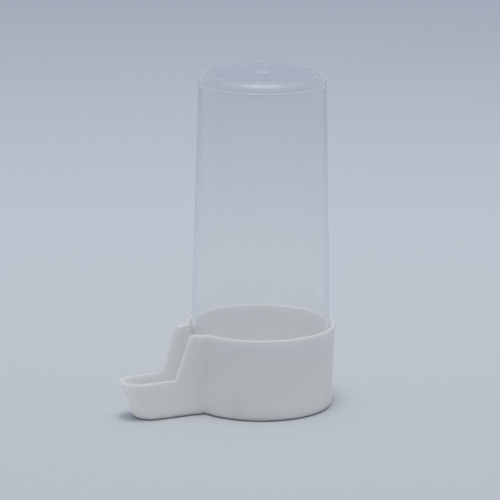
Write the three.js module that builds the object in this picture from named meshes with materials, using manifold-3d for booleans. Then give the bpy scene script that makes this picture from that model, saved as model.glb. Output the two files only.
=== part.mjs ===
// Bird drinker: a clear tumbler stands mouth down in the round collar of a white moulded base.
// Water leaves under the tumbler's mouth, runs through an open chute and fills the trough at the
// tip of the spout up to the level of the mouth.
// Millimetres, +Z up. The origin is on the collar's axis at the underside; the spout points along -Y.

import * as THREE from 'three';
import { mergeVertices } from 'three/addons/utils/BufferGeometryUtils.js';
import Module from 'manifold-3d';

const wasm = await Module();
wasm.setup();

// Collar: a cup whose outside stands in by the draft, on the radius, from the rim to the underside.
const COLLAR_HEIGHT = 33.6;
const COLLAR_DIAMETER = 60;
const COLLAR_DRAFT = 1;
const COLLAR_RIM_WALL = 1.35;
const COLLAR_FOOT_WALL = 1;
const FLOOR_THICKNESS = 2;
const FLOOR_ROUND = 1.2;

// Foot: a plate under the whole base that stands in from its outline, so that the edge clears the ground.
const FOOT_HEIGHT = 0.7;
const FOOT_INSET = 1.2;
const BASE_EDGE_ROUND = 0.4;

// Neck: the wider root of the spout, from the collar's rim to the shoulders that bear on the cage wires.
// A shoulder is as wide as the neck stands out beyond the spout.
const NECK_LENGTH = 2.4;
const RIM_SHOULDER = 1.5;
const FOOT_SHOULDER = 0.3;
const NECK_EDGE_ROUND = 0.6;

// Spout: lengths run from the shoulders towards the bird, and the width is the outside width at the
// trough's rim. The chute's edges slope forwards on their way down, and the tip leans forwards going up.
const TROUGH_RIM_HEIGHT = 15.6;
const TROUGH_LENGTH = 29.1;
const TROUGH_WIDTH = 14.9;
const TROUGH_DRAFT = 0.65;
const TIP_LEAN = 6.1;
const CHUTE_TOP_LENGTH = 2.5;
const CHUTE_SLOPE_RUN = 6;
const SPOUT_WALL = 1.4;

// Reservoir tube: straight where it stands in the collar, then narrower by the taper, on the radius, at
// its closed end. Its mouth sets the water level, this far below the trough's rim.
const TUBE_LENGTH = 125;
const TUBE_TAPER = 2.55;
const TUBE_WALL = 1.2;
const TUBE_END_WALL = 1.5;
const TUBE_END_ROUND = 3.7;
const TUBE_END_INNER_ROUND = 3.5;
const WATER_FREEBOARD = 4.9;
const GATE_DIMPLE_DIAMETER = 5.6;
const GATE_DIMPLE_DEPTH = 0.45;

// Stop ribs: they hold the tube's mouth off the floor, so that water can run out under it.
const RIB_COUNT = 4;
const RIB_THICKNESS = 1.2;
const RIB_OVERLAP = 1.6;
const RIB_DRAFT = 0.6;

// Clearances: round the tube's mouth in the collar, and under the mouth where it stands on the ribs.
const TUBE_CLEARANCE = 0.35;
const SEAT_GAP = 0.3;

// Facets: round the collar and tube, round the trough's tip and in a quarter-round edge.
const TURN_FACETS = 72;
const TIP_FACETS = 20;
const EDGE_FACETS = 4;

// Cutting bodies stand this far out of what they cut, and corners this close are one corner.
const CUT_MARGIN = 4;
const MERGE_DISTANCE = 1e-4;

// Places that several pieces share.
const SHOULDER_REACH = COLLAR_DIAMETER / 2 + NECK_LENGTH;
const TUBE_MOUTH_HEIGHT = TROUGH_RIM_HEIGHT - WATER_FREEBOARD;
const TUBE_MOUTH_RADIUS = boreRadius(TUBE_MOUTH_HEIGHT) - TUBE_CLEARANCE;

/** A closed three.js geometry as a solid with its faces pointing out. */
function toSolid(geometry) {
  const bare = geometry.clone();
  bare.deleteAttribute('normal');
  bare.deleteAttribute('uv');
  const merged = mergeVertices(bare, MERGE_DISTANCE);
  const corners = merged.attributes.position.array;
  const triangles = [];
  for (let i = 0; i < merged.index.count; i += 3) {
    const [a, b, c] = merged.index.array.slice(i, i + 3);
    if (a !== b && b !== c && c !== a) triangles.push([a, b, c]);
  }
  const corner = (i) => new THREE.Vector3().fromArray(corners, 3 * i);
  const volume = triangles.reduce(
    (sum, [a, b, c]) => sum + corner(a).dot(corner(b).cross(corner(c))),
    0,
  );
  const outward = volume > 0 ? triangles : triangles.map(([a, b, c]) => [a, c, b]);
  return new wasm.Manifold(
    new wasm.Mesh({
      numProp: 3,
      vertProperties: new Float32Array(corners),
      triVerts: new Uint32Array(outward.flat()),
    }),
  );
}

/** A solid as a three.js geometry with flat facets. */
function toGeometry(solid) {
  const mesh = solid.getMesh();
  const geometry = new THREE.BufferGeometry();
  geometry.setAttribute('position', new THREE.BufferAttribute(mesh.vertProperties, 3));
  geometry.setIndex(new THREE.BufferAttribute(mesh.triVerts, 1));
  const faceted = geometry.toNonIndexed();
  faceted.computeVertexNormals();
  return faceted;
}

/** Turns a path of radius and height, drawn from axis to axis, round the Z axis. */
function revolve(path) {
  const profile = path.getPoints(EDGE_FACETS);
  return toSolid(new THREE.LatheGeometry(profile, TURN_FACETS).rotateX(Math.PI / 2));
}

/** Joins level sections, given from the bottom up as { z, outline }, into one capped body. */
function loft(sections) {
  const size = sections[0].outline.length;
  const corners = sections.flatMap(({ z, outline }) => outline.flatMap(({ x, y }) => [x, y, z]));
  const triangles = [];
  for (let level = 0; level < sections.length - 1; level += 1) {
    for (let i = 0; i < size; i += 1) {
      const low = level * size + i;
      const lowNext = level * size + ((i + 1) % size);
      triangles.push(low, lowNext, lowNext + size, low, lowNext + size, low + size);
    }
  }
  const last = (sections.length - 1) * size;
  for (const [a, b, c] of THREE.ShapeUtils.triangulateShape(sections[0].outline, [])) {
    triangles.push(c, b, a);
  }
  for (const [a, b, c] of THREE.ShapeUtils.triangulateShape(sections.at(-1).outline, [])) {
    triangles.push(last + a, last + b, last + c);
  }
  const geometry = new THREE.BufferGeometry();
  geometry.setAttribute('position', new THREE.Float32BufferAttribute(corners, 3));
  geometry.setIndex(triangles);
  return toSolid(geometry);
}

/** Extrudes a shape drawn in the plane of two unit vectors, evenly to both sides of that plane. */
function extrudeAcross(shape, thickness, across, up) {
  const geometry = new THREE.ExtrudeGeometry(shape, { depth: thickness, bevelEnabled: false });
  geometry.translate(0, 0, -thickness / 2);
  const normal = new THREE.Vector3().crossVectors(across, up);
  return toSolid(geometry.applyMatrix4(new THREE.Matrix4().makeBasis(across, up, normal)));
}

/** Heights of a wall's rounded foot, with how far the wall stands in at each. */
function roundedFoot(bottom, round) {
  return Array.from({ length: EDGE_FACETS + 1 }, (_, step) => {
    const angle = ((step / EDGE_FACETS) * Math.PI) / 2;
    return { z: bottom + round * (1 - Math.cos(angle)), inset: round * (1 - Math.sin(angle)) };
  });
}

/** A cup-shaped body whose radius comes from radiusAt(z), flat at both ends, with a rounded foot. */
function turnedBody(radiusAt, bottom, top, round) {
  const path = new THREE.Path().moveTo(0, bottom);
  for (const { z, inset } of roundedFoot(bottom, round)) path.lineTo(radiusAt(z) - inset, z);
  return revolve(path.lineTo(radiusAt(top), top).lineTo(0, top));
}

/** A drafted body whose level outline comes from outlineAt(z, inset), with a rounded foot. */
function draftedBody(outlineAt, bottom, top, wall, round) {
  const levels = [...roundedFoot(bottom, round), { z: top, inset: 0 }];
  return loft(levels.map(({ z, inset }) => ({ z, outline: outlineAt(z, wall + inset) })));
}

/** The collar's outside radius at a height. */
function collarRadius(z) {
  return COLLAR_DIAMETER / 2 - COLLAR_DRAFT * (1 - z / COLLAR_HEIGHT);
}

/** The collar's inside radius at a height. */
function boreRadius(z) {
  return collarRadius(z) - THREE.MathUtils.lerp(COLLAR_FOOT_WALL, COLLAR_RIM_WALL, z / COLLAR_HEIGHT);
}

/** Half of the spout's outside width at a height. */
function spoutHalfWidth(z) {
  return TROUGH_WIDTH / 2 - TROUGH_DRAFT * (1 - z / TROUGH_RIM_HEIGHT);
}

/** Half of the neck's outside width at a height. */
function neckHalfWidth(z) {
  return spoutHalfWidth(z) + THREE.MathUtils.lerp(FOOT_SHOULDER, RIM_SHOULDER, z / COLLAR_HEIGHT);
}

/** How far the spout's leaning tip is from the collar's axis at a height. */
function spoutReach(z) {
  return SHOULDER_REACH + TROUGH_LENGTH - TIP_LEAN * (1 - z / TROUGH_RIM_HEIGHT);
}

/** Level outline of the spout: straight sides from the collar's axis to a round tip. */
function spoutOutline(z, inset) {
  const half = spoutHalfWidth(z) - inset;
  const tipCentre = half + inset - spoutReach(z);
  const shape = new THREE.Shape();
  shape.moveTo(-half, 0);
  shape.lineTo(-half, tipCentre);
  shape.absarc(0, tipCentre, half, Math.PI, 2 * Math.PI, false);
  shape.lineTo(half, 0);
  return shape.getPoints(TIP_FACETS / 2);
}

/** Level outline of the neck: a box with rounded shoulders that widens towards the collar's rim. */
function neckOutline(z, inset) {
  const round = NECK_EDGE_ROUND;
  const side = neckHalfWidth(z) - inset - round;
  const front = inset + round - SHOULDER_REACH;
  const shape = new THREE.Shape();
  shape.moveTo(-side - round, 0);
  shape.absarc(-side, front, round, Math.PI, 1.5 * Math.PI, false);
  shape.absarc(side, front, round, 1.5 * Math.PI, 2 * Math.PI, false);
  shape.lineTo(side + round, 0);
  return shape.getPoints(EDGE_FACETS / 2);
}

/** What is open in front of the chute and over the trough, seen from the side. */
function spoutOpening() {
  const top = COLLAR_HEIGHT + CUT_MARGIN;
  const far = spoutReach(top) + CUT_MARGIN;
  const chuteTop = SHOULDER_REACH + CHUTE_TOP_LENGTH;
  const slope = CHUTE_SLOPE_RUN / (COLLAR_HEIGHT - TROUGH_RIM_HEIGHT);
  const shape = new THREE.Shape();
  shape.moveTo(chuteTop + CHUTE_SLOPE_RUN, TROUGH_RIM_HEIGHT);
  shape.lineTo(far, TROUGH_RIM_HEIGHT);
  shape.lineTo(far, top);
  shape.lineTo(chuteTop - slope * CUT_MARGIN, top);
  const width = 2 * spoutHalfWidth(top) + CUT_MARGIN;
  return extrudeAcross(shape, width, new THREE.Vector3(0, -1, 0), new THREE.Vector3(0, 0, 1));
}

/** A rib from the collar's wall and floor to under the tube's mouth, at an angle round the axis. */
function stopRib(angle) {
  const top = TUBE_MOUTH_HEIGHT - SEAT_GAP;
  const inner = TUBE_MOUTH_RADIUS - TUBE_WALL - RIB_OVERLAP;
  const root = FLOOR_THICKNESS / 2;
  const outer = boreRadius(root) + COLLAR_FOOT_WALL / 2;
  const shape = new THREE.Shape();
  shape.moveTo(inner - RIB_DRAFT, root);
  shape.lineTo(outer, root);
  shape.lineTo(outer, top);
  shape.lineTo(inner, top);
  const radial = new THREE.Vector3(Math.cos(angle), Math.sin(angle), 0);
  return extrudeAcross(shape, RIB_THICKNESS, radial, new THREE.Vector3(0, 0, 1));
}

/** The plate that the base stands on, rooted in its floor. */
function footPlate() {
  const top = (FOOT_HEIGHT + FLOOR_THICKNESS) / 2;
  return turnedBody((z) => collarRadius(z) - FOOT_INSET, 0, top, BASE_EDGE_ROUND)
    .add(draftedBody(neckOutline, 0, top, FOOT_INSET, BASE_EDGE_ROUND))
    .add(draftedBody(spoutOutline, 0, top, FOOT_INSET, BASE_EDGE_ROUND));
}

/** The white base: collar cup, neck, chute, trough, foot and stop ribs in one moulding. */
function troughBase() {
  const above = COLLAR_HEIGHT + CUT_MARGIN;
  const outside = turnedBody(collarRadius, FOOT_HEIGHT, COLLAR_HEIGHT, BASE_EDGE_ROUND)
    .add(draftedBody(neckOutline, FOOT_HEIGHT, COLLAR_HEIGHT, 0, BASE_EDGE_ROUND))
    .add(draftedBody(spoutOutline, FOOT_HEIGHT, COLLAR_HEIGHT, 0, BASE_EDGE_ROUND));
  const inside = turnedBody(boreRadius, FLOOR_THICKNESS, above, FLOOR_ROUND)
    .add(draftedBody(neckOutline, FLOOR_THICKNESS, above, SPOUT_WALL, FLOOR_ROUND))
    .add(draftedBody(spoutOutline, FLOOR_THICKNESS, above, SPOUT_WALL, FLOOR_ROUND));
  let base = outside.subtract(inside).subtract(spoutOpening()).add(footPlate());
  for (let i = 0; i < RIB_COUNT; i += 1) {
    base = base.add(stopRib(((i + 0.5) / RIB_COUNT) * 2 * Math.PI));
  }
  return base;
}

/** The clear tumbler, mouth down, with the mark of the moulding gate in its closed end. */
function reservoirTube() {
  const mouth = TUBE_MOUTH_RADIUS;
  const bore = mouth - TUBE_WALL;
  const end = TUBE_MOUTH_HEIGHT + TUBE_LENGTH;
  const dimple = GATE_DIMPLE_DIAMETER / 2;
  const roundRadius = mouth - TUBE_TAPER - TUBE_END_ROUND;
  const roundHeight = end - TUBE_END_ROUND;
  const innerRadius = bore - TUBE_TAPER - TUBE_END_INNER_ROUND;
  const innerHeight = end - TUBE_END_WALL - TUBE_END_INNER_ROUND;
  const path = new THREE.Path().moveTo(0, end - GATE_DIMPLE_DEPTH);
  path.quadraticCurveTo(dimple / 2, end - GATE_DIMPLE_DEPTH, dimple, end);
  path.absarc(roundRadius, roundHeight, TUBE_END_ROUND, Math.PI / 2, 0, true);
  path.lineTo(mouth, COLLAR_HEIGHT);
  path.lineTo(mouth, TUBE_MOUTH_HEIGHT);
  path.lineTo(bore, TUBE_MOUTH_HEIGHT);
  path.lineTo(bore, COLLAR_HEIGHT);
  path.absarc(innerRadius, innerHeight, TUBE_END_INNER_ROUND, 0, Math.PI / 2, false);
  path.lineTo(0, end - TUBE_END_WALL);
  return revolve(path);
}

/** A named piece of the drinker. */
function piece(name, solid, material) {
  const mesh = new THREE.Mesh(toGeometry(solid), material);
  mesh.name = name;
  return mesh;
}

const whitePlastic = new THREE.MeshStandardMaterial({ color: 0xe8eaec, roughness: 0.4, metalness: 0 });
const clearPlastic = new THREE.MeshStandardMaterial({
  color: 0xeaf0f6,
  roughness: 0.06,
  metalness: 0,
  transparent: true,
  opacity: 0.25,
});

const drinker = new THREE.Group();
drinker.add(piece('trough_base', troughBase(), whitePlastic));
drinker.add(piece('reservoir_tube', reservoirTube(), clearPlastic));

export default drinker;
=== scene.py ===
"""Looks of the bird drinker: a white moulded trough base and a clear reservoir tube on a pale sweep."""

import logging
import math
from dataclasses import dataclass
from enum import Enum
from itertools import pairwise

import bmesh
import bpy
from mathutils import Matrix, Quaternion, Vector


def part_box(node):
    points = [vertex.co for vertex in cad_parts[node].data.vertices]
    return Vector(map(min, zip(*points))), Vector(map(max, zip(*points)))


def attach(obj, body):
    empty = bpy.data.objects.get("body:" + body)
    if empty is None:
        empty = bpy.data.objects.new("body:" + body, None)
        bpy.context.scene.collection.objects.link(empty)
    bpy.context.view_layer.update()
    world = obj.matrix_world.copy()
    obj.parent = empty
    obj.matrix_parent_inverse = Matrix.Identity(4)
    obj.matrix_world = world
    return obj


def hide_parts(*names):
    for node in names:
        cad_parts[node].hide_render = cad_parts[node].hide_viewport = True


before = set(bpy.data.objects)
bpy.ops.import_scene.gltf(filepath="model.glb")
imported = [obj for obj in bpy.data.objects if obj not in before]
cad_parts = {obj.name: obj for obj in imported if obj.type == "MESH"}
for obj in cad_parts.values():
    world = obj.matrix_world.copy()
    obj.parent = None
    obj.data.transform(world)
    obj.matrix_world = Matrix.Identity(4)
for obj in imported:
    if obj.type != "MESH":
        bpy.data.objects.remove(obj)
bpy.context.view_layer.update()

log = logging.getLogger("bird_drinker")

MM = 0.001
SAME_POINT = 0.001 * MM
# A bevel with this profile is an arc of a circle.
ROUND_PROFILE = 0.5


class Body(Enum):
    """The bodies of the drinker that pieces ride on."""

    BASE = "base"
    RESERVOIR = "reservoir"


class Slot(Enum):
    """The material slots of the drinker's record."""

    WHITE = "white_plastic"
    CLEAR = "clear_plastic"


class Rounding(Enum):
    """What a round is cut into."""

    CORNERS = "VERTICES"
    EDGES = "EDGES"


def linear(code: str) -> tuple[float, float, float, float]:
    """Turns an sRGB hex colour into a linear one.

    Args:
        code: The colour as "#rrggbb".

    Returns:
        Linear red, green and blue, and an alpha of 1.
    """
    shares = [int(code[i : i + 2], 16) / 255 for i in (1, 3, 5)]
    red, green, blue = (s / 12.92 if s <= 0.04045 else ((s + 0.055) / 1.055) ** 2.4 for s in shares)
    return red, green, blue, 1.0


def add_node(
    tree: bpy.types.NodeTree, kind: str, settings: dict[str, object], sockets: dict[str | int, object]
) -> bpy.types.Node:
    """Adds a node with its settings and links.

    Args:
        tree: The node tree that the node goes into.
        kind: The node's type name.
        settings: The node's own properties by name.
        sockets: A value, or an output socket to link from, for each input by name or number.

    Returns:
        The new node.
    """
    node = tree.nodes.new(kind)
    for name, value in settings.items():
        setattr(node, name, value)
    for name, value in sockets.items():
        if isinstance(value, bpy.types.NodeSocket):
            tree.links.new(value, node.inputs[name])
        else:
            node.inputs[name].default_value = value
    return node


def empty_material(name: str) -> bpy.types.Material:
    """Makes a material with an empty node tree.

    Args:
        name: The material's name.

    Returns:
        The new material.
    """
    material = bpy.data.materials.new(name)
    material.use_nodes = True
    material.node_tree.nodes.clear()
    return material


def noise(
    tree: bpy.types.NodeTree, place: bpy.types.NodeSocket, size: float, detail: float
) -> bpy.types.NodeSocket:
    """Adds a noise pattern.

    Args:
        tree: The node tree that the pattern goes into.
        place: The place in space that it is drawn at.
        size: The size of its largest spots.
        detail: How many finer layers it has.

    Returns:
        The pattern, from 0 to 1.
    """
    pattern = add_node(
        tree, "ShaderNodeTexNoise", {}, {"Vector": place, "Scale": 1 / size, "Detail": detail}
    )
    return pattern.outputs["Fac"]


def ease(
    tree: bpy.types.NodeTree, value: bpy.types.NodeSocket, start: float, stop: float
) -> bpy.types.NodeSocket:
    """Adds a smooth ramp from 0 to 1.

    Args:
        tree: The node tree that the ramp goes into.
        value: The value that drives it.
        start: The value where it leaves 0.
        stop: The value where it reaches 1.

    Returns:
        The height of the ramp.
    """
    ramp = add_node(
        tree,
        "ShaderNodeMapRange",
        {"interpolation_type": "SMOOTHSTEP"},
        {"Value": value, "From Min": start, "From Max": stop},
    )
    return ramp.outputs["Result"]


def mix_colour(
    tree: bpy.types.NodeTree,
    share: bpy.types.NodeSocket,
    first: str | bpy.types.NodeSocket,
    second: str | bpy.types.NodeSocket,
) -> bpy.types.NodeSocket:
    """Adds a mix of two colours.

    Args:
        tree: The node tree that the mix goes into.
        share: The share of the second colour.
        first: The first colour, as "#rrggbb" or as an output socket.
        second: The second colour, in the same way.

    Returns:
        The mixed colour.
    """
    start, stop = (linear(colour) if isinstance(colour, str) else colour for colour in (first, second))
    # The node has inputs for numbers and vectors before those for colours, under the same names.
    mix = add_node(tree, "ShaderNodeMix", {"data_type": "RGBA"}, {0: share, 6: start, 7: stop})
    return mix.outputs[2]


@dataclass(frozen=True)
class WhitePolystyrene:
    """Injection-moulded impact polystyrene: a slightly warm white with a satin skin.

    The eye sees an even white, a little cloudy where the melt flowed, with broad soft highlights that a fine
    spark-eroded grain breaks up. The thin walls let light through, so the hollows glow instead of going dark.
    """

    colour: str = "#ebe9e4"
    cloud_colour: str = "#e7e5e0"
    cloud_size: float = 16 * MM
    cloud_detail: float = 3.0
    scatter_depth: float = 10.0 * MM
    scatter_by_colour: tuple[float, float, float] = (1.0, 0.97, 0.91)
    # The real grain is about 0.05 mm, too fine to show, so it is drawn coarser.
    grain_size: float = 0.45 * MM
    grain_depth: float = 0.012 * MM
    grain_detail: float = 2.0
    grain_strength: float = 0.6
    roughness_low: float = 0.52
    roughness_high: float = 0.62
    ior: float = 1.59

    def material(self) -> bpy.types.Material:
        """Builds the material.

        Returns:
            The white plastic.
        """
        material = empty_material("polystyrene_white_moulded")
        tree = material.node_tree
        place = add_node(tree, "ShaderNodeTexCoord", {}, {}).outputs["Object"]
        cloud = noise(tree, place, self.cloud_size, self.cloud_detail)
        grain = noise(tree, place, self.grain_size, self.grain_detail)
        colour = mix_colour(tree, cloud, self.cloud_colour, self.colour)
        roughness = add_node(
            tree,
            "ShaderNodeMapRange",
            {},
            {"Value": cloud, "To Min": self.roughness_low, "To Max": self.roughness_high},
        )
        bump = add_node(
            tree,
            "ShaderNodeBump",
            {},
            {"Height": grain, "Distance": self.grain_depth, "Strength": self.grain_strength},
        )
        surface = add_node(
            tree,
            "ShaderNodeBsdfPrincipled",
            {},
            {
                "Base Color": colour,
                "Roughness": roughness.outputs["Result"],
                "Normal": bump.outputs["Normal"],
                "IOR": self.ior,
                "Subsurface Weight": 1.0,
                "Subsurface Radius": self.scatter_by_colour,
                "Subsurface Scale": self.scatter_depth,
            },
        )
        add_node(tree, "ShaderNodeOutputMaterial", {}, {"Surface": surface.outputs["BSDF"]})
        return material


@dataclass(frozen=True)
class ClearPolystyrene:
    """Injection-moulded crystal polystyrene, polished by its mould: clear with a trace of blue.

    The eye sees what stands behind, bluish lines where the wall turns edge-on, a slight haze at the closed
    end, and soft reflections that waver with the faint draw lines of the moulding.
    """

    end: float
    end_round: float
    colour: str = "#ffffff"
    streak_colour: str = "#fefefe"
    end_colour: str = "#fafafb"
    edge_colour: str = "#acbfe6"
    # Where the tint of the closed end sets in, as a share of its height.
    tint_start: float = 0.3
    streak_width: float = 5 * MM
    streak_length: float = 60 * MM
    streak_detail: float = 2.0
    streak_range: tuple[float, float] = (0.35, 0.65)
    # From which turn of the wall away from the eye the edge's colour sets in, and where it is full.
    edge_range: tuple[float, float] = (0.7, 0.95)
    edge_blend: float = 0.5
    wave_depth: float = 0.01 * MM
    wave_strength: float = 0.5
    roughness_low: float = 0.02
    roughness_high: float = 0.05
    end_roughness: float = 0.12
    # How far below the closed end its haze sets in and is full, in radii of the end's round.
    haze_start: float = 1.5
    haze_full: float = 0.6
    ior: float = 1.57
    clarity: float = 0.98
    passing_colour: str = "#fefefe"

    def material(self) -> bpy.types.Material:
        """Builds the material.

        Returns:
            The clear plastic.
        """
        material = empty_material("polystyrene_clear_moulded")
        tree = material.node_tree
        place = add_node(tree, "ShaderNodeTexCoord", {}, {}).outputs["Object"]
        height = add_node(tree, "ShaderNodeSeparateXYZ", {}, {"Vector": place}).outputs["Z"]
        along = (1 / self.streak_width, 1 / self.streak_width, 1 / self.streak_length)
        drawn = add_node(tree, "ShaderNodeMapping", {}, {"Vector": place, "Scale": along})
        # The mapping has already stretched the place to the streaks, so their size is 1 in it.
        streak = noise(tree, drawn.outputs["Vector"], 1.0, self.streak_detail)
        line = ease(tree, streak, *self.streak_range)
        streaked = mix_colour(tree, line, self.streak_colour, self.colour)
        rise = ease(tree, height, self.tint_start * self.end, self.end)
        tinted = mix_colour(tree, rise, streaked, self.end_colour)
        facing = add_node(tree, "ShaderNodeLayerWeight", {}, {"Blend": self.edge_blend}).outputs["Facing"]
        edge = ease(tree, facing, *self.edge_range)
        edged = mix_colour(tree, edge, tinted, self.edge_colour)
        haze_foot = self.end - self.haze_start * self.end_round
        haze_top = self.end - self.haze_full * self.end_round
        at_end = ease(tree, height, haze_foot, haze_top)
        roughness = add_node(
            tree,
            "ShaderNodeMapRange",
            {},
            {"Value": streak, "To Min": self.roughness_low, "To Max": self.roughness_high},
        )
        hazed = add_node(
            tree,
            "ShaderNodeMix",
            {},
            {"Factor": at_end, "A": roughness.outputs["Result"], "B": self.end_roughness},
        )
        bump = add_node(
            tree,
            "ShaderNodeBump",
            {},
            {"Height": streak, "Distance": self.wave_depth, "Strength": self.wave_strength},
        )
        surface = add_node(
            tree,
            "ShaderNodeBsdfPrincipled",
            {},
            {
                "Base Color": edged,
                "Roughness": hazed.outputs["Result"],
                "Normal": bump.outputs["Normal"],
                "IOR": self.ior,
                "Transmission Weight": self.clarity,
            },
        )
        passing = add_node(tree, "ShaderNodeBsdfTransparent", {}, {"Color": linear(self.passing_colour)})
        wall = add_node(
            tree,
            "ShaderNodeMixShader",
            {},
            {0: self.straight(tree, at_end), 1: surface.outputs["BSDF"], 2: passing.outputs["BSDF"]},
        )
        add_node(tree, "ShaderNodeOutputMaterial", {}, {"Surface": wall.outputs["Shader"]})
        return material

    def straight(self, tree: bpy.types.NodeTree, at_end: bpy.types.NodeSocket) -> bpy.types.NodeSocket:
        """Adds the choice of the light that passes straight through the wall.

        That is light for other surfaces, and light that has echoed inside the wall. At the closed end one
        echo more is drawn.

        Args:
            tree: The node tree that the choice goes into.
            at_end: How near the closed end a place is, from 0 to 1.

        Returns:
            1 for light that passes straight, else 0.
        """
        ray = add_node(tree, "ShaderNodeLightPath", {}, {}).outputs
        lighting = add_node(
            tree,
            "ShaderNodeMath",
            {"operation": "MAXIMUM"},
            {0: ray["Is Shadow Ray"], 1: ray["Is Diffuse Ray"]},
        )
        trapped = add_node(
            tree,
            "ShaderNodeMath",
            {"operation": "GREATER_THAN"},
            {0: ray["Glossy Depth"], 1: at_end},
        )
        either = add_node(
            tree,
            "ShaderNodeMath",
            {"operation": "MAXIMUM"},
            {0: lighting.outputs["Value"], 1: trapped.outputs["Value"]},
        )
        return either.outputs["Value"]


@dataclass(frozen=True)
class SweepPaper:
    """Matt studio paper, pale blue-grey, that the drinker stands on.

    The eye sees a trace of fibre. The colour holds a painted pool of light, palest just behind the drinker,
    and painted shade that is a little deeper in front and far behind.
    """

    backwards: tuple[float, float, float]
    colour: str = "#d6dae1"
    # Painted shade: the paper's tone in front of the drinker and far behind it, darker than the painted pool
    # of light.
    near_shade_colour: str = "#c9ced3"
    distant_shade_colour: str = "#d0d2dd"
    fibre_colour: str = "#d1d4db"
    fibre_share: float = 0.15
    fibre_size: float = 3 * MM
    fibre_detail: float = 2.0
    # How far behind the drinker, in metres, the paper is fully in its painted shade in front, fully in its
    # painted pool of light, and fully in its painted falloff far behind.
    near: float = -0.2
    far: float = 0.35
    distant: float = 1.1

    def material(self) -> bpy.types.Material:
        """Builds the material.

        Returns:
            The paper.
        """
        material = empty_material("sweep_paper_matt")
        tree = material.node_tree
        place = add_node(tree, "ShaderNodeTexCoord", {}, {}).outputs["Object"]
        fibre = noise(tree, place, self.fibre_size, self.fibre_detail)
        depth = add_node(
            tree, "ShaderNodeVectorMath", {"operation": "DOT_PRODUCT"}, {0: place, 1: self.backwards}
        ).outputs["Value"]
        # Painted light: a pool of light behind the drinker that shades off into painted shade in front and
        # far behind.
        painted_pool = mix_colour(tree, ease(tree, depth, self.near, self.far), self.near_shade_colour, self.colour)
        painted_falloff = mix_colour(tree, ease(tree, depth, self.far, self.distant), painted_pool, self.distant_shade_colour)
        specks = add_node(
            tree, "ShaderNodeMath", {"operation": "MULTIPLY"}, {0: fibre, 1: self.fibre_share}
        ).outputs["Value"]
        colour = mix_colour(tree, specks, painted_falloff, self.fibre_colour)
        surface = add_node(tree, "ShaderNodeBsdfDiffuse", {}, {"Color": colour})
        add_node(tree, "ShaderNodeOutputMaterial", {}, {"Surface": surface.outputs["BSDF"]})
        return material


def finish_mesh(mesh: bmesh.types.BMesh, name: str) -> bpy.types.Object:
    """Turns a finished bmesh into a smooth object at the origin.

    Args:
        mesh: The bmesh, which is freed.
        name: The piece's name.

    Returns:
        The new object, linked to the scene.
    """
    for face in mesh.faces:
        face.smooth = True
    data = bpy.data.meshes.new(name)
    mesh.to_mesh(data)
    mesh.free()
    piece = bpy.data.objects.new(name, data)
    bpy.context.scene.collection.objects.link(piece)
    return piece


def even_out_normals(piece: bpy.types.Object) -> None:
    """Weights a piece's normals by face area, so that flat walls stay flat beside their rounded edges.

    Args:
        piece: The piece, with all its rounds in place.
    """
    weighted = piece.modifiers.new("even_normals", "WEIGHTED_NORMAL")
    weighted.mode = "FACE_AREA"
    weighted.keep_sharp = True


def mount_piece(piece: bpy.types.Object, body: Body, node: str) -> None:
    """Lets a piece stand for a CAD node.

    Args:
        piece: The finished piece.
        body: The body that it rides on.
        node: The CAD node that it replaces.
    """
    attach(piece, body.value)
    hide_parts(node)


def quarter_round(steps: int) -> list[tuple[float, float]]:
    """Lists the points of a quarter circle.

    Args:
        steps: The number of facets.

    Returns:
        1 - sine and 1 - cosine of each angle, from 0 to 90 degrees.
    """
    angles = [math.pi / 2 * step / steps for step in range(steps + 1)]
    return [(1 - math.sin(angle), 1 - math.cos(angle)) for angle in angles]


def round_off(
    mesh: bmesh.types.BMesh,
    items: list[bmesh.types.BMVert] | list[bmesh.types.BMEdge],
    size: float,
    steps: int,
    kind: Rounding,
) -> None:
    """Rounds off corners or edges.

    Args:
        mesh: The mesh that they belong to.
        items: The corners or edges.
        size: How far from them the round starts.
        steps: The number of facets.
        kind: Which of the two they are.
    """
    bmesh.ops.bevel(
        mesh,
        geom=items,
        offset=size,
        segments=steps,
        profile=ROUND_PROFILE,
        affect=kind.value,
        material=-1,
    )


@dataclass(frozen=True)
class Level:
    """One closed outline of the base's wall.

    Attributes:
        rear: Height of the outline round the collar and neck.
        front: Height of the outline along the trough.
        collar_inset: How far it lies inside the collar's outer face.
        spout_inset: How far it lies inside the spout's outer face.
        setback: How far the chute's corners stand back from the rim's outermost line.
    """

    rear: float
    front: float
    collar_inset: float
    spout_inset: float
    setback: float = 0.0


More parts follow.
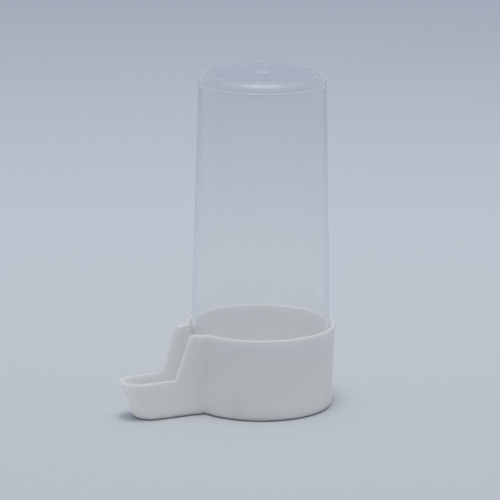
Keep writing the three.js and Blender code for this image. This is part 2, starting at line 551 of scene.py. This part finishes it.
@dataclass(frozen=True)
class TroughBase:
    """The white base: collar cup, neck, chute, trough, foot plate and stop ribs in one moulding."""

    collar_height: float
    collar_radius: float
    tip_reach: float
    tube_mouth: float
    tube_radius: float
    collar_draft: float = 1 * MM
    collar_rim_wall: float = 1.35 * MM
    collar_foot_wall: float = 1 * MM
    foot_height: float = 0.7 * MM
    foot_inset: float = 1.2 * MM
    edge_round: float = 0.4 * MM
    floor_thickness: float = 2 * MM
    floor_round: float = 1.2 * MM
    rim_round: float = 0.4 * MM
    neck_length: float = 2.4 * MM
    rim_shoulder: float = 1.5 * MM
    foot_shoulder: float = 0.3 * MM
    crease_round: float = 0.5 * MM
    shoulder_round_share: float = 0.4
    trough_rim: float = 15.6 * MM
    trough_width: float = 14.9 * MM
    trough_draft: float = 0.65 * MM
    tip_lean: float = 6.1 * MM
    chute_top_length: float = 2.5 * MM
    chute_slope_run: float = 6 * MM
    spout_wall: float = 1.4 * MM
    rib_count: int = 4
    rib_thickness: float = 1.2 * MM
    rib_overlap: float = 2.8 * MM
    rib_draft: float = 0.6 * MM
    rib_round: float = 0.25 * MM
    seat_gap: float = 0.3 * MM
    collar_steps: int = 84
    tip_steps: int = 24
    corner_steps: int = 4
    edge_steps: int = 5

    @classmethod
    def from_frame(cls) -> "TroughBase":
        """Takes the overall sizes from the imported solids.

        Returns:
            The base in its packed size.
        """
        low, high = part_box("trough_base")
        tube_low, tube_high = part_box("reservoir_tube")
        return cls(
            collar_height=high.z,
            collar_radius=high.x,
            tip_reach=-low.y,
            tube_mouth=tube_low.z,
            tube_radius=tube_high.x,
        )

    def collar_at(self, z: float) -> float:
        """The collar's outside radius at a height."""
        return self.collar_radius - self.collar_draft * (1 - z / self.collar_height)

    def collar_wall_at(self, z: float) -> float:
        """The collar's wall thickness at a height."""
        return self.collar_foot_wall + (self.collar_rim_wall - self.collar_foot_wall) * z / self.collar_height

    def spout_half_at(self, z: float) -> float:
        """Half of the spout's outside width at a height."""
        return self.trough_width / 2 - self.trough_draft * (1 - z / self.trough_rim)

    def shoulder_at(self, z: float) -> float:
        """How far the neck stands out beyond the spout at a height."""
        return self.foot_shoulder + (self.rim_shoulder - self.foot_shoulder) * z / self.collar_height

    def levels(self) -> list[Level]:
        """Lists the outlines of the wall.

        Returns:
            The outlines, from the floor inside up the wall, over the rim and down the outside to the foot
            plate.
        """
        arc = quarter_round(self.edge_steps)
        slope = math.atan2(self.collar_height - self.trough_rim, self.chute_slope_run)
        setback = math.tan(slope / 2)
        levels = []
        for near, far in arc:
            height = self.floor_thickness + far * self.floor_round
            inset = near * self.floor_round
            levels.append(Level(height, height, self.collar_wall_at(height) + inset, self.spout_wall + inset))
        for near, far in arc:
            drop, inset = near * self.rim_round, far * self.rim_round
            rear, front = self.collar_height - drop, self.trough_rim - drop
            collar = self.collar_wall_at(rear) - inset
            levels.append(Level(rear, front, collar, self.spout_wall - inset, setback * drop))
        for near, far in reversed(arc):
            drop, inset = near * self.rim_round, far * self.rim_round
            levels.append(
                Level(self.collar_height - drop, self.trough_rim - drop, inset, inset, setback * drop)
            )
        for bottom, stand_in in ((self.foot_height, 0.0), (0.0, self.foot_inset)):
            if stand_in:
                levels.append(Level(self.foot_height, self.foot_height, stand_in, stand_in))
            for near, far in reversed(arc):
                height = bottom + far * self.edge_round
                inset = stand_in + near * self.edge_round
                levels.append(Level(height, height, inset, inset))
        return levels

    def outline(self, mesh: bmesh.types.BMesh, level: Level) -> list[bmesh.types.BMEdge]:
        """Draws one outline of the wall.

        Args:
            mesh: The mesh that the outline goes into.
            level: The outline's heights and insets.

        Returns:
            The closed loop of edges.
        """
        known = set(mesh.edges)
        radius = self.collar_at(level.rear) - level.collar_inset
        side = self.spout_half_at(level.rear) - level.spout_inset
        neck = side + self.shoulder_at(level.rear)
        shoulder_reach = self.collar_radius + self.neck_length
        shoulder = level.spout_inset - shoulder_reach
        chute_top = level.setback - shoulder_reach - self.chute_top_length
        tip_half = self.spout_half_at(level.front) - level.spout_inset
        reach = self.tip_reach - self.tip_lean * (1 - level.front / self.trough_rim)
        tip_centre = tip_half + level.spout_inset - reach

        back = mesh.verts.new((0, radius, level.rear))
        turn = math.pi - math.asin(neck / radius)
        arc = bmesh.ops.spin(
            mesh, geom=[back], cent=(0, 0, level.rear), axis=(0, 0, -1), angle=turn, steps=self.collar_steps
        )
        crease = arc["geom_last"][0]
        corners = [
            (neck, shoulder, level.rear),
            (side, shoulder, level.rear),
            (side, chute_top, level.rear),
            (tip_half, chute_top - self.chute_slope_run, level.front),
            (tip_half, tip_centre, level.front),
        ]
        chain = [crease, *(mesh.verts.new(corner) for corner in corners)]
        for start, end in pairwise(chain):
            mesh.edges.new((start, end))
        bmesh.ops.spin(
            mesh,
            geom=[chain[-1]],
            cent=(0, tip_centre, level.front),
            axis=(0, 0, -1),
            angle=math.pi / 2,
            steps=self.tip_steps,
        )
        shoulder_round = self.shoulder_round_share * self.shoulder_at(level.rear)
        for corner_verts, size in (([crease], self.crease_round), (chain[1:3], shoulder_round)):
            round_off(mesh, corner_verts, size, self.corner_steps, Rounding.CORNERS)
        half = [edge for edge in mesh.edges if edge not in known]
        half_verts = list({vert for edge in half for vert in edge.verts})
        bmesh.ops.mirror(
            mesh, geom=half_verts + half, matrix=Matrix.Identity(4), merge_dist=SAME_POINT, axis="X"
        )
        return [edge for edge in mesh.edges if edge not in known]

    def ribs(self) -> bpy.types.Object:
        """Builds the stop ribs that the tube's mouth stands on.

        Returns:
            An object with all the ribs, rooted in the collar's wall and floor.
        """
        mesh = bmesh.new()
        top = self.tube_mouth - self.seat_gap
        root = self.floor_thickness / 2
        inner = self.tube_radius - self.rib_overlap
        outer = self.collar_at(root) - self.collar_wall_at(root) / 2
        side = -self.rib_thickness / 2
        corners = [
            (inner - self.rib_draft, side, root),
            (outer, side, root),
            (outer, side, top),
            (inner, side, top),
        ]
        face = mesh.faces.new([mesh.verts.new(corner) for corner in corners])
        grown = bmesh.ops.extrude_face_region(mesh, geom=[face])["geom"]
        moved = [item for item in grown if isinstance(item, bmesh.types.BMVert)]
        bmesh.ops.translate(mesh, verts=moved, vec=(0, self.rib_thickness, 0))
        bmesh.ops.recalc_face_normals(mesh, faces=mesh.faces)
        crown = [edge for edge in mesh.edges if all(vert.co.z > top - SAME_POINT for vert in edge.verts)]
        round_off(mesh, crown, self.rib_round, self.corner_steps, Rounding.EDGES)
        step = 2 * math.pi / self.rib_count
        bmesh.ops.rotate(mesh, verts=mesh.verts, cent=(0, 0, 0), matrix=Matrix.Rotation(step / 2, 3, "Z"))
        bmesh.ops.spin(
            mesh,
            geom=mesh.verts[:] + mesh.edges[:] + mesh.faces[:],
            cent=(0, 0, 0),
            axis=(0, 0, 1),
            angle=step * (self.rib_count - 1),
            steps=self.rib_count - 1,
            use_duplicate=True,
        )
        return finish_mesh(mesh, "stop_ribs")

    def build(self) -> bpy.types.Object:
        """Builds the whole moulding.

        Returns:
            The base as one closed mesh.
        """
        mesh = bmesh.new()
        loops = [self.outline(mesh, level) for level in self.levels()]
        for lower, upper in pairwise(loops):
            bmesh.ops.bridge_loops(mesh, edges=lower + upper)
        for cap in (loops[0], loops[-1]):
            bmesh.ops.edgeloop_fill(mesh, edges=cap)
        bmesh.ops.recalc_face_normals(mesh, faces=mesh.faces)
        piece = finish_mesh(mesh, "trough_base_moulding")
        self.join_ribs(piece)
        return piece

    def join_ribs(self, piece: bpy.types.Object) -> None:
        """Fuses the stop ribs into the base.

        Args:
            piece: The base without ribs, whose mesh is replaced.
        """
        ribs = self.ribs()
        join = piece.modifiers.new("ribs", "BOOLEAN")
        join.operation = "UNION"
        join.solver = "EXACT"
        join.object = ribs
        depsgraph = bpy.context.evaluated_depsgraph_get()
        plain = piece.data
        piece.data = bpy.data.meshes.new_from_object(piece.evaluated_get(depsgraph))
        piece.data.name = piece.name
        piece.modifiers.clear()
        bpy.data.objects.remove(ribs)
        bpy.data.meshes.remove(plain)

    def dress(self, piece: bpy.types.Object) -> None:
        """Gives the base its finish and its place on the drinker.

        Args:
            piece: The finished base.
        """
        even_out_normals(piece)
        piece.data.materials.append(WhitePolystyrene().material())
        mount_piece(piece, Body.BASE, "trough_base")


@dataclass(frozen=True)
class ReservoirTube:
    """The clear tumbler that stands mouth down in the collar."""

    mouth: float
    end: float
    mouth_radius: float
    collar_height: float
    taper: float = 2.55 * MM
    wall: float = 1.2 * MM
    end_wall: float = 1.5 * MM
    end_round: float = 3.7 * MM
    inner_round: float = 3.5 * MM
    lip_round: float = 0.45 * MM
    bend_round: float = 6 * MM
    dimple_radius: float = 2.8 * MM
    dimple_floor: float = 1.3 * MM
    dimple_depth: float = 0.45 * MM
    dimple_round: float = 0.5 * MM
    turn_steps: int = 192
    round_steps: int = 14
    edge_steps: int = 5

    @classmethod
    def from_frame(cls) -> "ReservoirTube":
        """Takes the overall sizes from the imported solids.

        Returns:
            The tube in its packed size.
        """
        low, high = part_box("reservoir_tube")
        collar_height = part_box("trough_base")[1].z
        return cls(mouth=low.z, end=high.z, mouth_radius=high.x, collar_height=collar_height)

    def build(self) -> bpy.types.Object:
        """Turns the wall's section round the tube's axis.

        Returns:
            The tube as one closed mesh.
        """
        mesh = bmesh.new()
        end_radius = self.mouth_radius - self.taper
        pit = self.end - self.dimple_depth
        # Each corner of the section: radius, height, and the size and facets of its round.
        section = [
            (0.0, pit, 0.0, 0),
            (self.dimple_floor, pit, self.dimple_round, self.edge_steps),
            (self.dimple_radius, self.end, self.dimple_round, self.edge_steps),
            (end_radius, self.end, self.end_round, self.round_steps),
            (self.mouth_radius, self.collar_height, self.bend_round, self.edge_steps),
            (self.mouth_radius, self.mouth, self.lip_round, self.edge_steps),
            (self.mouth_radius - self.wall, self.mouth, self.lip_round, self.edge_steps),
            (self.mouth_radius - self.wall, self.collar_height, self.bend_round, self.edge_steps),
            (end_radius - self.wall, self.end - self.end_wall, self.inner_round, self.round_steps),
            (0.0, self.end - self.end_wall, 0.0, 0),
        ]
        corners = [mesh.verts.new((radius, 0, height)) for radius, height, _, _ in section]
        for start, stop in pairwise(corners):
            mesh.edges.new((start, stop))
        for corner, (_, _, size, steps) in zip(corners, section):
            if steps:
                round_off(mesh, [corner], size, steps, Rounding.CORNERS)
        bmesh.ops.spin(
            mesh,
            geom=mesh.verts[:] + mesh.edges[:],
            cent=(0, 0, 0),
            axis=(0, 0, 1),
            angle=2 * math.pi,
            steps=self.turn_steps,
            use_merge=True,
        )
        bmesh.ops.remove_doubles(mesh, verts=mesh.verts, dist=SAME_POINT)
        bmesh.ops.recalc_face_normals(mesh, faces=mesh.faces)
        return finish_mesh(mesh, "reservoir_tube_clear")

    def dress(self, piece: bpy.types.Object) -> None:
        """Gives the tube its finish and its place on the drinker.

        Args:
            piece: The finished tube.
        """
        even_out_normals(piece)
        piece.data.materials.append(ClearPolystyrene(self.end, self.end_round).material())
        mount_piece(piece, Body.RESERVOIR, "reservoir_tube")


@dataclass(frozen=True)
class Studio:
    """The pale sweep, the soft light and the camera."""

    floor_radius: float = 1.6
    floor_drop: float = 0.02 * MM
    floor_steps: int = 64
    dome_colour: str = "#a9afbd"
    dome_low_colour: str = "#cdd2dc"
    dome_front_colour: str = "#989dab"
    dome_top_colour: str = "#bbc1cb"
    # Where each part of the dome sets in and is full, as parts of a unit direction: towards the camera for
    # the front, upwards for the other two. The low part fades out from the first value to the second.
    dome_front: tuple[float, float] = (-0.3, 0.8)
    dome_low: tuple[float, float] = (0.03, 0.17)
    dome_top: tuple[float, float] = (0.5, 0.95)
    softbox_height: float = 1.5
    softbox_front: float = 0.2
    softbox_width: float = 1.12
    softbox_length: float = 1.03
    softbox_power: float = 5.7
    overhead_size: float = 0.3
    overhead_power: float = 3.7
    lamp_colour: str = "#fffdf2"
    camera_azimuth: float = math.radians(63.4)
    camera_distance: float = 1298.9 * MM
    camera_height: float = 378.2 * MM
    aim_offset: float = -4.44 * MM
    aim_height: float = 63.3 * MM
    camera_roll: float = 0.008
    lens: float = 239.9

    def towards_camera(self) -> Vector:
        """The level direction from the drinker to the camera."""
        return Vector((math.sin(self.camera_azimuth), -math.cos(self.camera_azimuth), 0))

    def floor(self) -> bpy.types.Object:
        """Lays the paper.

        Returns:
            The floor.
        """
        mesh = bmesh.new()
        bmesh.ops.create_circle(mesh, cap_ends=True, segments=self.floor_steps, radius=self.floor_radius)
        bmesh.ops.translate(mesh, verts=mesh.verts, vec=(0, 0, -self.floor_drop))
        floor = finish_mesh(mesh, "sweep_floor")
        floor.data.materials.append(SweepPaper(tuple(-self.towards_camera())).material())
        return floor

    def dome(self) -> bpy.types.World:
        """Sets the soft dome: darker in front, lighter overhead and low behind the drinker.

        Returns:
            The world that holds it.
        """
        world = bpy.data.worlds.new("soft_dome")
        world.use_nodes = True
        tree = world.node_tree
        tree.nodes.clear()
        way = add_node(tree, "ShaderNodeTexCoord", {}, {}).outputs["Generated"]
        height = add_node(tree, "ShaderNodeSeparateXYZ", {}, {"Vector": way}).outputs["Z"]
        front = add_node(
            tree, "ShaderNodeVectorMath", {"operation": "DOT_PRODUCT"}, {0: way, 1: self.towards_camera()}
        ).outputs["Value"]
        back = mix_colour(tree, ease(tree, height, *self.dome_low), self.dome_low_colour, self.dome_colour)
        side = mix_colour(tree, ease(tree, front, *self.dome_front), back, self.dome_front_colour)
        colour = mix_colour(tree, ease(tree, height, *self.dome_top), side, self.dome_top_colour)
        sky = add_node(tree, "ShaderNodeBackground", {}, {"Color": colour})
        add_node(tree, "ShaderNodeOutputWorld", {}, {"Surface": sky.outputs["Background"]})
        bpy.context.scene.world = world
        return world

    def lamp(self, name: str, size: tuple[float, float], power: float) -> bpy.types.Object:
        """Hangs an elliptical lamp over the drinker.

        Args:
            name: The lamp's name.
            size: Its width and length.
            power: Its power in watts.

        Returns:
            The lamp, which faces the drinker.
        """
        light = bpy.data.lights.new(name, "AREA")
        light.shape = "ELLIPSE"
        light.size, light.size_y = size
        light.energy = power
        light.color = linear(self.lamp_colour)[:3]
        lamp = bpy.data.objects.new(name, light)
        lamp.location = Vector((0, 0, self.softbox_height)) + self.softbox_front * self.towards_camera()
        lamp.rotation_mode = "QUATERNION"
        lamp.rotation_quaternion = (-lamp.location).to_track_quat("-Z", "Y")
        bpy.context.scene.collection.objects.link(lamp)
        return lamp

    def light(self) -> list[bpy.types.Object]:
        """Hangs the softbox, which makes the tube's highlight, and a small lamp that makes the shadows tight.

        The small lamp is kept out of reflections, and neither lamp shows through the tube.

        Returns:
            Both lamps.
        """
        softbox = self.lamp("softbox", (self.softbox_width, self.softbox_length), self.softbox_power)
        softbox.visible_transmission = False
        overhead = self.lamp("overhead", (self.overhead_size, self.overhead_size), self.overhead_power)
        overhead.visible_transmission = False
        overhead.visible_glossy = False
        return [softbox, overhead]

    def camera(self) -> bpy.types.Object:
        """Places the camera at the photograph's angle.

        Returns:
            The camera.
        """
        right = Vector((math.cos(self.camera_azimuth), math.sin(self.camera_azimuth), 0))
        place = self.towards_camera() * self.camera_distance + Vector((0, 0, self.camera_height))
        aim = right * self.aim_offset + Vector((0, 0, self.aim_height))
        turn = (aim - place).to_track_quat("-Z", "Y") @ Quaternion((0, 0, 1), self.camera_roll)
        data = bpy.data.cameras.new("camera")
        data.lens = self.lens
        camera = bpy.data.objects.new("camera", data)
        camera.location = place
        camera.rotation_mode = "QUATERNION"
        camera.rotation_quaternion = turn
        bpy.context.scene.collection.objects.link(camera)
        bpy.context.scene.camera = camera
        return camera


def main() -> None:
    """Builds and dresses each piece in order, then sets the studio round it."""
    logging.basicConfig(level=logging.INFO, format="%(name)s: %(message)s")
    bpy.context.scene.view_settings.view_transform = "Standard"
    for maker in (TroughBase.from_frame(), ReservoirTube.from_frame()):
        piece = maker.build()
        maker.dress(piece)
        log.info("%s: %d faces", piece.name, len(piece.data.polygons))
    studio = Studio()
    for part in (studio.floor(), studio.dome(), *studio.light(), studio.camera()):
        log.info("%s: set", part.name)


if __name__ == "__main__":
    main()
